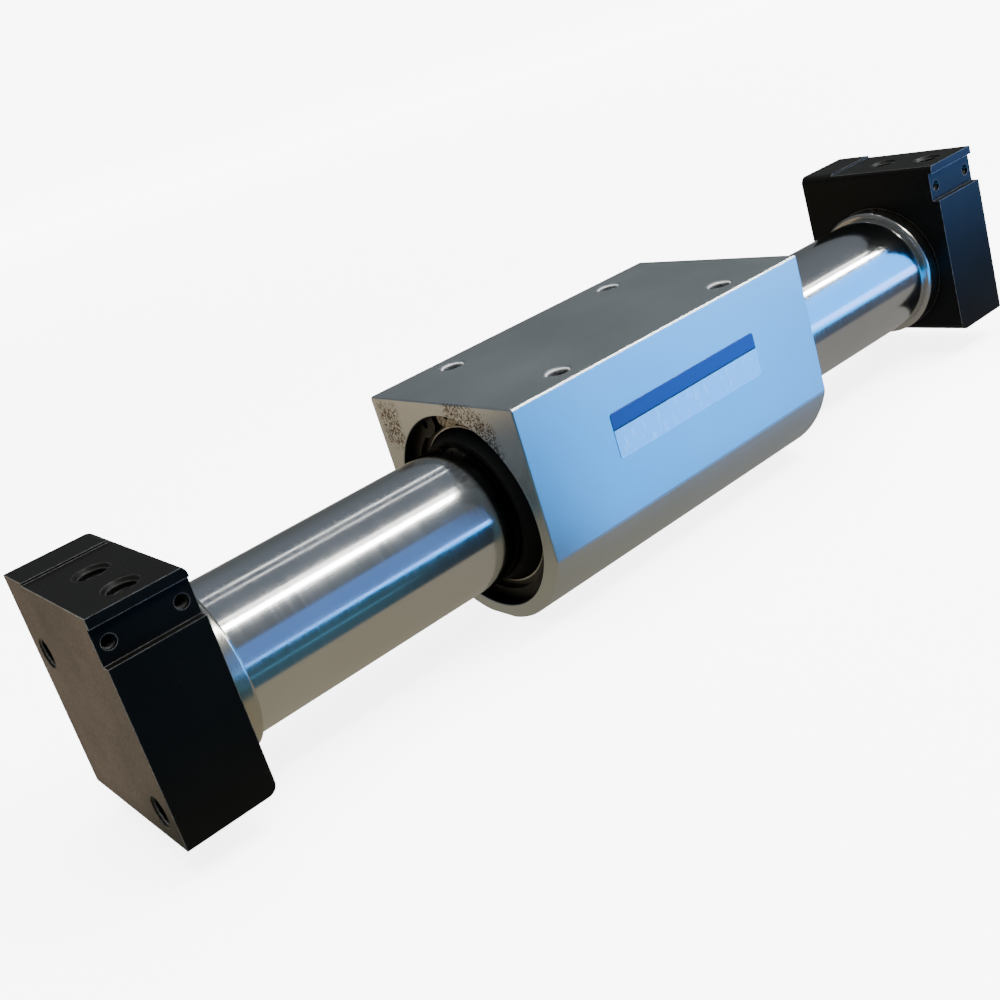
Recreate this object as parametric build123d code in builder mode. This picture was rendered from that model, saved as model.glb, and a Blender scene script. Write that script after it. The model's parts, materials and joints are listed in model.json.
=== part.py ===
from build123d import *
import os
from math import asin, degrees, sqrt

# A magnetically coupled rodless cylinder. Lengths are in millimetres.
# X runs along the tube, Z is up and the camera side is -Y.
# The origin is under the middle of the cylinder, level with the foot of the slider.

# Tube and stroke
bore = 25.0
tube_wall = 1.4
stroke = 100.0
stop_gap = 0.3  # left between the piston and a bumper at the end of the stroke

# Clearances
seat_gap = 0.03  # round pieces that sit still in each other
running_gap = 0.05  # round pieces that slide or turn on each other
bearing_play = 0.1  # end play of the wear rings and scrapers in the slider

# End blocks, an aluminium profile cut to length
block_thickness = 16.4
block_width = 37.5
block_over_axis = 24.4
block_under_axis = 16.0
lip_height = 1.8  # over the band sunk into the camera side
lip_setback = 0.8  # behind the camera side
band_floor = 8.6  # from the top of the block down to the band's lower ledge
band_depth = 1.7
strip_width = 8.8  # of the raised strip along the far edge of the top
strip_height = 0.45
block_round = 1.8  # on the two edges towards the tube
end_wall = 4.0
tube_seat = 6.5  # how deep the tube goes into a block

# Ports, and the other tapped holes of an end block
port_tap_r = 2.5
port_mouth_r = 3.15
mouth_angle = 90  # of the countersinks in an end block
port_depth = 8.0
port_pitch = 12.0
passage_r = 1.5
end_tap_r = 2.5
end_mouth_r = 2.9
end_depth = 8.0
end_hole_y = 13.0
end_hole_z = 10.9
rail_tap_r = 1.25
rail_depth = 5.0
rail_pitch = 12.0
rail_drop = 5.5  # below the top of the block

# Welded collars, seals and bumpers
collar_wall = 1.3
collar_proud = 4.0
collar_seat = 2.5
collar_round = 0.8
seal_width = 2.0
seal_height = 1.5
seal_round = 0.5
seal_offset = 0.8  # from the collar to the seal's groove
bumper_r = 8.0
bumper_length = 6.6
bumper_round = 1.0
bumper_recess = 1.0

# Slider body
slider_length = 78.4
flat_wall = 2.75  # least wall between the bore and the flat top or sides
belly_wall = 2.45  # between the bore and the foot
side_drop = 7.2  # from the axis down to where the flat sides end and the belly begins
foot_width = 7.0  # of the flat along the belly's lowest line
belly_r = 24.2
slider_chamfer = 0.3
end_chamfer = 0.25
bore_chamfer = 0.2
slider_rest = 2.5  # where the slider stands along the tube
slider_pitch_x = 45.0
slider_pitch_y = 32.5
slider_tap_r = 2.1
slider_mouth_r = 2.75
slider_mouth_angle = 120
slider_tap_depth = 7.5

# Inside the slider, from an end face inwards
ring_inset = 2.3
ring_thickness = 1.2
ring_width = 2.3
ring_groove = 0.9
ring_gap = 1.8
ring_gap_at = 72.5  # degrees up from the far side
ear_length = 6.4
ear_r = 2.4
ear_depth = 0.9  # how far an ear stands in past the ring
ear_hole_r = 0.8
end_plate_thickness = 2.5
end_plate_lip = 0.7
scraper_wall = 2.0
scraper_flange = 0.6
scraper_reach = 1.3  # how far the lip stands out past the retaining ring
scraper_edge = 0.4
scraper_land = 0.7
scraper_relief = 0.65
bearing_length = 7.5
wear_ring_wall = 2.2

# Coupled magnets and yokes
magnet_count = 4
yoke_thickness = 3.6
outer_air_gap = 0.5
outer_magnet_wall = 5.32  # leaves the slider 45 mm wide
inner_air_gap = 0.4
yoke_step = 0.2  # the yokes stand this much closer to the tube than the magnets

# Piston
shaft_r = 4.0
shaft_proud = 1.4
shaft_chamfer = 0.7
piston_length = 22.0
piston_clearance = 0.3
piston_chamfer = 1.2
guide_offset = 3.0
guide_width = 8.0
guide_wall = 1.2
packing_offset = 3.5  # from the piston's outer end
packing_width = 4.0
packing_height = 3.2
packing_lip = 0.9
packing_heel = 1.7
packing_taper = 0.3
nut_thickness = 5.0
nut_flats = 13.0
nut_chamfer = 0.5

# Worked out from the sizes above
tube_bore_r = bore / 2
tube_r = tube_bore_r + tube_wall
collar_r = tube_r + collar_wall
outer_magnet_r = tube_r + outer_air_gap
slider_bore_r = outer_magnet_r + outer_magnet_wall + seat_gap
slider_width = 2 * (slider_bore_r + flat_wall)
slider_over_axis = slider_bore_r + flat_wall
slider_under_axis = slider_bore_r + belly_wall
axis_z = slider_under_axis
stack_length = slider_length - 2 * (ring_inset + ring_thickness + end_plate_thickness + bearing_length)
magnet_thickness = (stack_length - (magnet_count + 1) * yoke_thickness) / magnet_count
shaft_half = stack_length / 2 + piston_length + nut_thickness + shaft_proud
chamber_depth = block_thickness - end_wall
inner_face = stroke / 2 + shaft_half + stop_gap + bumper_length - chamber_depth - bumper_recess
outer_face = inner_face + block_thickness
port_x = inner_face + block_thickness / 2

meridian = Plane(origin=(0, 0, axis_z), x_dir=(1, 0, 0), z_dir=(0, -1, 0))
tube_axis = Axis((0, 0, axis_z), (1, 0, 0))
cylinder_middle = Plane.YZ
slider_middle = Plane.YZ.offset(slider_rest)


def across(x):
    """A plane across the tube at x, its own x towards +Y and its own y up."""
    return Plane(origin=(x, 0, axis_z), x_dir=(0, 1, 0), z_dir=(1, 0, 0))


def save(piece, label):
    piece.part.label = label
    export_step(piece.part, f"parts/{label}.step")


def save_pair(piece, label, middle):
    """Writes a piece of the right half and its mirror image on the left."""
    with BuildPart() as twin:
        mirror(piece.part, about=middle)
    save(piece, f"{label}_right")
    save(twin, f"{label}_left")


def turned(*outline):
    """A ring turned about the tube's axis, from (x, radius) corners."""
    with BuildPart() as piece:
        with BuildSketch(meridian):
            with BuildLine():
                Polyline(*outline, close=True)
            make_face()
        revolve(axis=tube_axis)
    return piece


def ring(x0, x1, inner_r, outer_r):
    with BuildPart() as piece:
        with BuildSketch(across(x0)):
            Circle(outer_r)
            Circle(inner_r, mode=Mode.SUBTRACT)
        extrude(amount=x1 - x0)
    return piece


os.makedirs("parts", exist_ok=True)

# End block: the profile across the tube, cut by the side view with its two rounded edges
near = -block_width / 2
far = block_width / 2
top = block_over_axis
deck = top - strip_height
band_y = near + band_depth
port_top = axis_z + deck
with BuildPart() as end_block:
    with BuildSketch(across(inner_face)):
        with BuildLine():
            Polyline(
                (near, -block_under_axis),
                (near, top - band_floor),
                (band_y, top - band_floor),
                (band_y, deck - lip_height),
                (near + lip_setback, deck - lip_height),
                (near + lip_setback, deck),
                (far - strip_width, deck),
                (far - strip_width, top),
                (far, top),
                (far, -block_under_axis),
                close=True,
            )
        make_face()
    extrude(amount=block_thickness)
    with BuildSketch(meridian):
        block_height = block_over_axis + block_under_axis
        block_middle = (block_over_axis - block_under_axis) / 2
        with Locations((port_x, block_middle)):
            Rectangle(block_thickness, block_height)
        fillet(vertices().group_by(Axis.X)[0], block_round)
    extrude(amount=block_width, both=True, mode=Mode.INTERSECT)
    # The stepped bore: collar seat, tube seat with its seal groove, air chamber and bumper recess
    seal_x = inner_face + collar_seat + seal_offset
    seat_r = tube_r + seat_gap
    bumper_seat_r = bumper_r + seat_gap
    with BuildSketch(meridian):
        with BuildLine():
            Polyline(
                (inner_face, 0),
                (inner_face, collar_r + seat_gap),
                (inner_face + collar_seat, collar_r + seat_gap),
                (inner_face + collar_seat, seat_r),
                (seal_x, seat_r),
                (seal_x, seat_r + seal_height),
                (seal_x + seal_width, seat_r + seal_height),
                (seal_x + seal_width, seat_r),
                (inner_face + tube_seat, seat_r),
                (inner_face + tube_seat, tube_bore_r),
                (inner_face + chamber_depth, tube_bore_r),
                (inner_face + chamber_depth, bumper_seat_r),
                (inner_face + chamber_depth + bumper_recess, bumper_seat_r),
                (inner_face + chamber_depth + bumper_recess, 0),
                close=True,
            )
        make_face()
    revolve(axis=tube_axis, mode=Mode.SUBTRACT)
    # Two ports side by side on top, each with an air passage down into the chamber
    for port_y in (0, -port_pitch):
        with Locations(Plane(origin=(port_x, port_y, port_top))):
            CounterSinkHole(port_tap_r, port_mouth_r, port_depth, mouth_angle)
        with BuildSketch(Plane.XY.offset(port_top - port_depth)):
            with Locations((port_x, port_y)):
                Circle(passage_r)
        extrude(amount=-(deck - port_depth), mode=Mode.SUBTRACT)
    # Two diagonal fixing holes in the outer face
    with Locations(across(outer_face)):
        with Locations((end_hole_y, end_hole_z), (-end_hole_y, -end_hole_z)):
            CounterSinkHole(end_tap_r, end_mouth_r, end_depth, mouth_angle)
    # Two small holes in the sunk band, for a sensor rail
    with Locations(Plane(origin=(port_x, band_y, axis_z + top - rail_drop), x_dir=(1, 0, 0), z_dir=(0, -1, 0))):
        with GridLocations(rail_pitch, 0, 2, 1):
            Hole(rail_tap_r, depth=rail_depth)
save_pair(end_block, "end_block", cylinder_middle)

# Tube, and what holds and seals it in the blocks
tube_end = inner_face + tube_seat
cylinder_tube = ring(-tube_end, tube_end, tube_bore_r, tube_r)
save(cylinder_tube, "cylinder_tube")

with BuildPart() as tube_collar:
    with BuildSketch(across(inner_face - collar_proud)):
        Circle(collar_r)
        Circle(tube_r + seat_gap, mode=Mode.SUBTRACT)
    extrude(amount=collar_proud + collar_seat)
    collar_rim = edges().group_by(Axis.X)[0].sort_by(SortBy.RADIUS)[-1]
    fillet(collar_rim, collar_round)
save_pair(tube_collar, "tube_collar", cylinder_middle)

with BuildPart() as tube_seal:
    with BuildSketch(meridian):
        with Locations((seal_x + seal_width / 2, seat_r + seal_height / 2)):
            RectangleRounded(seal_width - 2 * seat_gap, seal_height - 2 * seat_gap, seal_round)
    revolve(axis=tube_axis)
save_pair(tube_seal, "tube_seal", cylinder_middle)

with BuildPart() as bumper:
    with BuildSketch(across(inner_face + chamber_depth + bumper_recess)):
        Circle(bumper_r)
    extrude(amount=-bumper_length)
    fillet(edges().group_by(Axis.X)[0], bumper_round)
save_pair(bumper, "bumper", cylinder_middle)

# Slider body: flat top and sides over a round belly with a narrow foot
slider_half = slider_width / 2
slider_end = slider_rest + slider_length / 2
foot_half = foot_width / 2
groove_r = slider_bore_r + ring_groove
with BuildPart() as slider_body:
    with BuildSketch(across(slider_rest - slider_length / 2)):
        with BuildLine():
            Polyline(
                (-slider_half, -side_drop),
                (-slider_half, slider_over_axis),
                (slider_half, slider_over_axis),
                (slider_half, -side_drop),
            )
            RadiusArc((slider_half, -side_drop), (foot_half, -slider_under_axis), belly_r)
            Line((foot_half, -slider_under_axis), (-foot_half, -slider_under_axis))
            RadiusArc((-foot_half, -slider_under_axis), (-slider_half, -side_drop), belly_r)
        make_face()
        chamfer(vertices().group_by(Axis.Z)[-1], slider_chamfer)
    extrude(amount=slider_length)
    end_faces = faces().sort_by(Axis.X)
    chamfer(end_faces[0].edges() + end_faces[-1].edges(), end_chamfer)
    with BuildSketch(across(slider_rest - slider_length / 2)):
        Circle(slider_bore_r)
    extrude(amount=slider_length, mode=Mode.SUBTRACT)
    bore_rims = edges().filter_by(GeomType.CIRCLE).group_by(SortBy.RADIUS)[0]
    chamfer(bore_rims, bore_chamfer)
    for side in (-1, 1):
        groove_x = slider_rest + side * (slider_length / 2 - ring_inset - ring_thickness / 2)
        with BuildSketch(across(groove_x)):
            Circle(groove_r)
        extrude(amount=ring_thickness / 2, both=True, mode=Mode.SUBTRACT)
    with Locations(Plane(origin=(slider_rest, 0, axis_z + slider_over_axis))):
        with GridLocations(slider_pitch_x, slider_pitch_y, 2, 2):
            CounterSinkHole(slider_tap_r, slider_mouth_r, slider_tap_depth, slider_mouth_angle)
save(slider_body, "slider_body")

# Internal retaining ring: its two ends carry ears with a hole for the pliers
ring_x = slider_end - ring_inset - ring_thickness
ring_inner_r = slider_bore_r - ring_width
ear_mid_r = ring_inner_r - ear_depth + ear_r
ear_swing = degrees(asin((ring_gap + ear_length) / 2 / ear_mid_r))
ears = PolarLocations(ear_mid_r, 2, ring_gap_at - ear_swing, 2 * ear_swing, endpoint=True)
with BuildPart() as retaining_ring:
    with BuildSketch(across(ring_x)):
        Circle(groove_r - seat_gap)
        Circle(ring_inner_r, mode=Mode.SUBTRACT)
        with ears:
            SlotOverall(ear_length, 2 * ear_r, rotation=90)
        Circle(groove_r - seat_gap, mode=Mode.INTERSECT)
        with ears:
            Circle(ear_hole_r, mode=Mode.SUBTRACT)
        with PolarLocations(slider_bore_r, 1, ring_gap_at):
            Rectangle(4 * ear_r, ring_gap, mode=Mode.SUBTRACT)
    extrude(amount=ring_thickness)
save_pair(retaining_ring, "retaining_ring", slider_middle)

# End plate, which traps the scraper by its flange
stack_r = slider_bore_r - seat_gap
plate_x = ring_x - end_plate_thickness
lip_x = ring_x - end_plate_lip
wipe_r = tube_r + running_gap
scraper_body_r = wipe_r + scraper_wall
end_plate_r = scraper_body_r + running_gap
flange_r = end_plate_r + scraper_flange
end_plate = turned(
    (plate_x, flange_r + running_gap),
    (lip_x, flange_r + running_gap),
    (lip_x, end_plate_r),
    (ring_x, end_plate_r),
    (ring_x, stack_r),
    (plate_x, stack_r),
)
save_pair(end_plate, "end_plate", slider_middle)

# Scraper: a flanged rubber ring with a lip that wipes the tube
scraper_tip = ring_x + ring_thickness + scraper_reach
scraper_back = plate_x + bearing_play
relief_r = wipe_r + scraper_relief
scraper = turned(
    (scraper_back, relief_r),
    (scraper_back, flange_r),
    (lip_x - bearing_play, flange_r),
    (lip_x - bearing_play, scraper_body_r),
    (ring_x + scraper_edge, scraper_body_r),
    (scraper_tip, wipe_r + scraper_edge),
    (scraper_tip, wipe_r),
    (scraper_tip - scraper_land, wipe_r),
    (scraper_tip - scraper_land - scraper_relief, relief_r),
)
save_pair(scraper, "scraper", slider_middle)

# Wear ring that runs on the tube, in a holder that fills the bore of the slider
holder_x = plate_x - bearing_length
wear_ring_r = wipe_r + wear_ring_wall
bearing_holder = ring(holder_x, plate_x, wear_ring_r + running_gap, stack_r)
save_pair(bearing_holder, "bearing_holder", slider_middle)
wear_ring = ring(holder_x + bearing_play, plate_x, wipe_r, wear_ring_r)
save_pair(wear_ring, "wear_ring", slider_middle)

# Magnets and yokes: the same stack outside and inside the tube, so that they hold each other
stack_x = slider_rest - stack_length / 2
stack_pitch = yoke_thickness + magnet_thickness
inner_magnet_r = tube_bore_r - inner_air_gap
shaft_seat_r = shaft_r + seat_gap
for i in range(magnet_count + 1):
    x0 = stack_x + i * stack_pitch
    x1 = x0 + yoke_thickness
    save(ring(x0, x1, outer_magnet_r - yoke_step, stack_r), f"outer_yoke_{i + 1}")
    save(ring(x0, x1, shaft_seat_r, inner_magnet_r + yoke_step), f"inner_yoke_{i + 1}")
for i in range(magnet_count):
    x0 = stack_x + i * stack_pitch + yoke_thickness
    x1 = x0 + magnet_thickness
    save(ring(x0, x1, outer_magnet_r, stack_r), f"outer_magnet_{i + 1}")
    save(ring(x0, x1, shaft_seat_r, inner_magnet_r), f"inner_magnet_{i + 1}")

# Piston halves with their grooves, one at each end of the inner stack
piston_r = tube_bore_r - piston_clearance
piston_x = slider_rest + stack_length / 2
piston_end = piston_x + piston_length
slide_r = tube_bore_r - running_gap
guide_x0 = piston_x + guide_offset
guide_x1 = guide_x0 + guide_width
guide_groove_r = slide_r - guide_wall
packing_x1 = piston_end - packing_offset
packing_x0 = packing_x1 - packing_width
packing_groove_r = slide_r - packing_height
piston = turned(
    (piston_x, shaft_seat_r),
    (piston_x, piston_r),
    (guide_x0, piston_r),
    (guide_x0, guide_groove_r),
    (guide_x1, guide_groove_r),
    (guide_x1, piston_r),
    (packing_x0, piston_r),
    (packing_x0, packing_groove_r),
    (packing_x1, packing_groove_r),
    (packing_x1, piston_r),
    (piston_end - piston_chamfer, piston_r),
    (piston_end, piston_r - piston_chamfer),
    (piston_end, shaft_seat_r),
)
save_pair(piston, "piston", slider_middle)
piston_guide = ring(guide_x0 + seat_gap, guide_x1 - seat_gap, guide_groove_r + seat_gap, slide_r)
save_pair(piston_guide, "piston_guide", slider_middle)

# U-shaped packing with its lips towards the pressure
packing_foot = packing_groove_r + seat_gap
packing_heel_x = packing_x0 + seat_gap
packing_mouth_x = packing_x1 - seat_gap
piston_packing = turned(
    (packing_heel_x, packing_foot),
    (packing_heel_x, slide_r - packing_taper),
    (packing_mouth_x - packing_lip, slide_r),
    (packing_mouth_x, slide_r),
    (packing_mouth_x, slide_r - packing_lip),
    (packing_heel_x + packing_heel, (slide_r + packing_foot) / 2),
    (packing_mouth_x, packing_foot + packing_lip),
    (packing_mouth_x, packing_foot),
)
save_pair(piston_packing, "piston_packing", slider_middle)

# Shaft through the stack, and the nuts that clamp it
with BuildPart() as piston_shaft:
    with BuildSketch(across(slider_rest)):
        Circle(shaft_r)
    extrude(amount=shaft_half, both=True)
    chamfer(edges().filter_by(GeomType.CIRCLE), shaft_chamfer)
save(piston_shaft, "piston_shaft")

nut_corner_r = nut_flats / sqrt(3)
with BuildPart() as piston_nut:
    with BuildSketch(across(piston_end)):
        RegularPolygon(nut_flats / 2, 6, major_radius=False)
        Circle(shaft_seat_r, mode=Mode.SUBTRACT)
    extrude(amount=nut_thickness)
    with BuildSketch(meridian):
        with BuildLine():
            Polyline(
                (piston_end, 0),
                (piston_end, nut_corner_r),
                (piston_end + nut_thickness - nut_chamfer, nut_corner_r),
                (piston_end + nut_thickness, nut_corner_r - 2 * nut_chamfer),
                (piston_end + nut_thickness, 0),
                close=True,
            )
        make_face()
    revolve(axis=tube_axis, mode=Mode.INTERSECT)
save_pair(piston_nut, "piston_nut", slider_middle)
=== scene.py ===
import json
import math
import random

import bmesh
import bpy
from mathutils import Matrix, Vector


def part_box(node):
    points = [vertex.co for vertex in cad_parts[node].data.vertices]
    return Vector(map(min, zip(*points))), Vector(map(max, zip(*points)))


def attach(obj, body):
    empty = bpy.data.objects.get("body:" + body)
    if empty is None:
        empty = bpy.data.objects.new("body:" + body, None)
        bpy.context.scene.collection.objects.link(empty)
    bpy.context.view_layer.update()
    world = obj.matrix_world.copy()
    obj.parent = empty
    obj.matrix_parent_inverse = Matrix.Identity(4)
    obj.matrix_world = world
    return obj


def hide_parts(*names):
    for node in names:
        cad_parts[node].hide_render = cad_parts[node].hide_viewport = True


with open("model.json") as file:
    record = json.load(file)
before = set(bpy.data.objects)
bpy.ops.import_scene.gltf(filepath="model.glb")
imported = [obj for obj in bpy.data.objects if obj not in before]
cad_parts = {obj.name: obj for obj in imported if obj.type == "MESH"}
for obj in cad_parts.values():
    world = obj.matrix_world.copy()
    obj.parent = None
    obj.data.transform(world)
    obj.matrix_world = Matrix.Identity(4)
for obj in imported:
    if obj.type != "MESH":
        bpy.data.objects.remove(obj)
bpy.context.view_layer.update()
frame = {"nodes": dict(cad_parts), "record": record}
nodes = frame["nodes"]
print("frame loaded:", len(nodes), "nodes")

axisHeight = 0.0222  # of the tube above the floor
sliderLow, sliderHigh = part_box("slider_body")
blockLow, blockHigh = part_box("end_block_right")


# Small helpers for working by hand
def letGo():
    if bpy.context.mode != "OBJECT":
        bpy.ops.object.mode_set(mode="OBJECT")
    bpy.ops.object.select_all(action="DESELECT")


def take(piece):
    letGo()
    piece.select_set(True)
    bpy.context.view_layer.objects.active = piece


def openPiece(piece):
    take(piece)
    bpy.ops.object.mode_set(mode="EDIT")
    bpy.ops.mesh.select_all(action="DESELECT")


def closePiece():
    bpy.ops.object.mode_set(mode="OBJECT")


def pickFaces(test):
    mesh = bmesh.from_edit_mesh(bpy.context.active_object.data)
    bpy.context.tool_settings.mesh_select_mode = (False, False, True)
    for face in mesh.faces:
        face.select_set(test(face.normal))
    bmesh.update_edit_mesh(bpy.context.active_object.data)


def pickEdges(test):
    mesh = bmesh.from_edit_mesh(bpy.context.active_object.data)
    bpy.context.tool_settings.mesh_select_mode = (False, True, False)
    for edge in mesh.edges:
        edge.select_set(test(edge.verts[0].co, edge.verts[1].co))
    bmesh.update_edit_mesh(bpy.context.active_object.data)


def pickPoints(test):
    mesh = bmesh.from_edit_mesh(bpy.context.active_object.data)
    bpy.context.tool_settings.mesh_select_mode = (True, False, False)
    for point in mesh.verts:
        point.select_set(test(point.co))
    mesh.select_flush_mode()
    bmesh.update_edit_mesh(bpy.context.active_object.data)


def smoothBelow(degrees):
    bpy.ops.object.shade_smooth_by_angle(angle=math.radians(degrees))


def putInPlace(piece, body):
    take(piece)
    bpy.ops.object.transform_apply(location=True, rotation=True, scale=True)
    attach(piece, body)


# Small helpers for building node trees
def addNode(tree, kind, **settings):
    node = tree.nodes.new(kind)
    for key, value in settings.items():
        setattr(node, key, value)
    return node


# Fills a socket with another socket, a colour or a plain value
def feed(tree, socket, value):
    if isinstance(value, bpy.types.NodeSocket):
        tree.links.new(value, socket)
    elif socket.type == "RGBA":
        socket.default_value = (*value, 1.0)
    else:
        socket.default_value = value


def mathNode(tree, operation, *values):
    node = addNode(tree, "ShaderNodeMath", operation=operation)
    for socket, value in zip(node.inputs, values):
        feed(tree, socket, value)
    return node.outputs[0]


def times(tree, first, second):
    return mathNode(tree, "MULTIPLY", first, second)


def vectorNode(tree, operation, *values):
    node = addNode(tree, "ShaderNodeVectorMath", operation=operation)
    for socket, value in zip(node.inputs, values):
        feed(tree, socket, value)
    return node


def clamped(tree, value):
    node = addNode(tree, "ShaderNodeClamp")
    feed(tree, node.inputs["Value"], value)
    return node.outputs[0]


def objectPlace(tree):
    return addNode(tree, "ShaderNodeTexCoord").outputs["Object"]


def addNoise(tree, vector, scale, detail=2.0, roughness=0.5):
    noise = addNode(tree, "ShaderNodeTexNoise")
    for name, value in dict(Vector=vector, Scale=scale, Detail=detail, Roughness=roughness).items():
        feed(tree, noise.inputs[name], value)
    return noise


def blend(tree, factor, first, second):
    mix = addNode(tree, "ShaderNodeMix", data_type="RGBA")
    for socket, value in ((mix.inputs[0], factor), (mix.inputs[6], first), (mix.inputs[7], second)):
        feed(tree, socket, value)
    return mix.outputs[2]


# Maps start to low and end to high, and holds those values outside
def span(tree, value, start, end, low, high):
    node = addNode(tree, "ShaderNodeMapRange")
    names = ("Value", "From Min", "From Max", "To Min", "To Max")
    for name, number in zip(names, (value, start, end, low, high)):
        feed(tree, node.inputs[name], number)
    return node.outputs[0]


def rise(tree, value, start, end):
    return span(tree, value, start, end, 0.0, 1.0)


def fall(tree, value, start, end):
    return span(tree, value, start, end, 1.0, 0.0)


# 1 between low and high, falling to 0 over the soft distance outside
def softBox(tree, value, low, high, soft):
    return times(tree, rise(tree, value, low - soft, low), fall(tree, value, high, high + soft))


# A ramp through stops that are each a place from 0 to 1 and a colour
def addRamp(tree, value, stops, blending):
    ramp = addNode(tree, "ShaderNodeValToRGB")
    feed(tree, ramp.inputs[0], value)
    ramp.color_ramp.interpolation = blending
    points = ramp.color_ramp.elements
    points[0].position = stops[0][0]
    points[1].position = stops[-1][0]
    for place, colour in stops[1:-1]:
        points.new(place)
    for point, (place, colour) in zip(points, stops):
        point.color = (*colour, 1.0)
    return ramp.outputs[0]


# Distance from the tube's axis, place along it, and place across and above it
def axisPlace(tree):
    parts = addNode(tree, "ShaderNodeSeparateXYZ")
    feed(tree, parts.inputs[0], objectPlace(tree))
    along, side = parts.outputs["X"], parts.outputs["Y"]
    up = mathNode(tree, "SUBTRACT", parts.outputs["Z"], axisHeight)
    squares = mathNode(tree, "ADD", times(tree, up, up), times(tree, side, side))
    return dict(far=mathNode(tree, "SQRT", squares), along=along, side=side, up=up)


# Shared surface effects, one node group each
def newGroup(name, inputs, output):
    group = bpy.data.node_groups.new(name, "ShaderNodeTree")
    for socketName, value in inputs.items():
        kind = "NodeSocketVector" if isinstance(value, tuple) else "NodeSocketFloat"
        socket = group.interface.new_socket(name=socketName, in_out="INPUT", socket_type=kind)
        socket.default_value = value
    group.interface.new_socket(name=output, in_out="OUTPUT", socket_type="NodeSocketFloat")
    return group, group.nodes.new("NodeGroupInput").outputs, group.nodes.new("NodeGroupOutput").inputs


edgeWearShape = dict(samples=6, detail=4.0, gain=2.0, shift=-0.3)


# Corners, where a bevelled normal leaves the true one, broken up by noise
def makeEdgeWearGroup():
    shape = edgeWearShape
    group, given, result = newGroup("edgeWear", dict(Radius=0.0003, Amount=1.0, Breakup=400.0), "Mask")
    bevel = addNode(group, "ShaderNodeBevel", samples=shape["samples"])
    feed(group, bevel.inputs["Radius"], given["Radius"])
    flat = addNode(group, "ShaderNodeNewGeometry").outputs["Normal"]
    dot = vectorNode(group, "DOT_PRODUCT", bevel.outputs["Normal"], flat)
    corner = mathNode(group, "SUBTRACT", 1.0, dot.outputs["Value"])
    noise = addNoise(group, objectPlace(group), given["Breakup"], shape["detail"])
    rough = mathNode(group, "MULTIPLY_ADD", noise.outputs["Fac"], shape["gain"], shape["shift"])
    worn = times(group, times(group, corner, rough), given["Amount"])
    feed(group, result["Mask"], clamped(group, worn))
    return group


# Plain noise that can be drawn out along an axis
def makeGrainGroup():
    inputs = dict(Stretch=(1.0, 1.0, 1.0), Scale=3000.0, Detail=3.0)
    group, given, result = newGroup("surfaceGrain", inputs, "Value")
    stretched = vectorNode(group, "MULTIPLY", objectPlace(group), given["Stretch"]).outputs[0]
    noise = addNoise(group, stretched, given["Scale"], given["Detail"])
    feed(group, result["Value"], noise.outputs["Fac"])
    return group


specksShape = dict(detail=6.0, roughness=0.7, level=0.52, coverEffect=0.35, sharpness=18.0)


# Fine specks that gather in broad patches
def makeSpecksGroup():
    shape = specksShape
    group, given, result = newGroup("dustSpecks", dict(Scale=900.0, Cover=0.3, Patches=60.0), "Mask")
    place = objectPlace(group)
    fine = addNoise(group, place, given["Scale"], shape["detail"], shape["roughness"])
    broad = addNoise(group, place, given["Patches"])
    both = times(group, fine.outputs["Fac"], broad.outputs["Fac"])
    lower = times(group, given["Cover"], shape["coverEffect"])
    level = mathNode(group, "SUBTRACT", shape["level"], lower)
    over = mathNode(group, "SUBTRACT", both, level)
    feed(group, result["Mask"], clamped(group, times(group, over, shape["sharpness"])))
    return group


scratchShape = dict(wanderScale=25.0, wander=(0.004, 0.004, 0.004), level=0.80, coverEffect=0.25,
                    sharpness=30.0)


# Thin marks along the direction with the smallest number, bent a little on their way
def makeScratchGroup():
    shape = scratchShape
    inputs = dict(Direction=(1.0, 1.0, 1.0), Scale=100.0, Cover=0.3)
    group, given, result = newGroup("fineScratches", inputs, "Mask")
    place = objectPlace(group)
    wander = addNoise(group, place, shape["wanderScale"]).outputs["Color"]
    shifted = vectorNode(group, "MULTIPLY_ADD", wander, shape["wander"], place).outputs[0]
    stretched = vectorNode(group, "MULTIPLY", shifted, given["Direction"]).outputs[0]
    lines = addNoise(group, stretched, given["Scale"]).outputs["Fac"]
    lower = times(group, given["Cover"], shape["coverEffect"])
    level = mathNode(group, "SUBTRACT", shape["level"], lower)
    over = mathNode(group, "SUBTRACT", lines, level)
    feed(group, result["Mask"], clamped(group, times(group, over, shape["sharpness"])))
    return group


edgeWear = makeEdgeWearGroup()
fineScratches = makeScratchGroup()
surfaceGrain = makeGrainGroup()
dustSpecks = makeSpecksGroup()


def placeGroup(tree, group, **values):
    node = addNode(tree, "ShaderNodeGroup", node_tree=group)
    for key, value in values.items():
        node.inputs[key].default_value = value
    return node.outputs[0]


def newFinish(name):
    finish = bpy.data.materials.new(name)
    finish.use_nodes = True
    return finish


def inside(finish):
    return finish.node_tree, finish.node_tree.nodes["Principled BSDF"]


def addBump(tree, shader, height, strength, depth):
    bump = addNode(tree, "ShaderNodeBump")
    for name, value in dict(Strength=strength, Distance=depth, Height=height).items():
        feed(tree, bump.inputs[name], value)
    feed(tree, shader.inputs["Normal"], bump.outputs[0])


# Lays a colour over what already feeds the shader's base colour
def weave(tree, shader, factor, colour):
    base = shader.inputs["Base Color"]
    feed(tree, base, blend(tree, factor, base.links[0].from_socket, colour))


# Nearly all of a noise lies between these values, alone and as the sum of two
noiseReach = dict(alone=(0.3, 0.7), summed=(0.6, 1.4))


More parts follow.
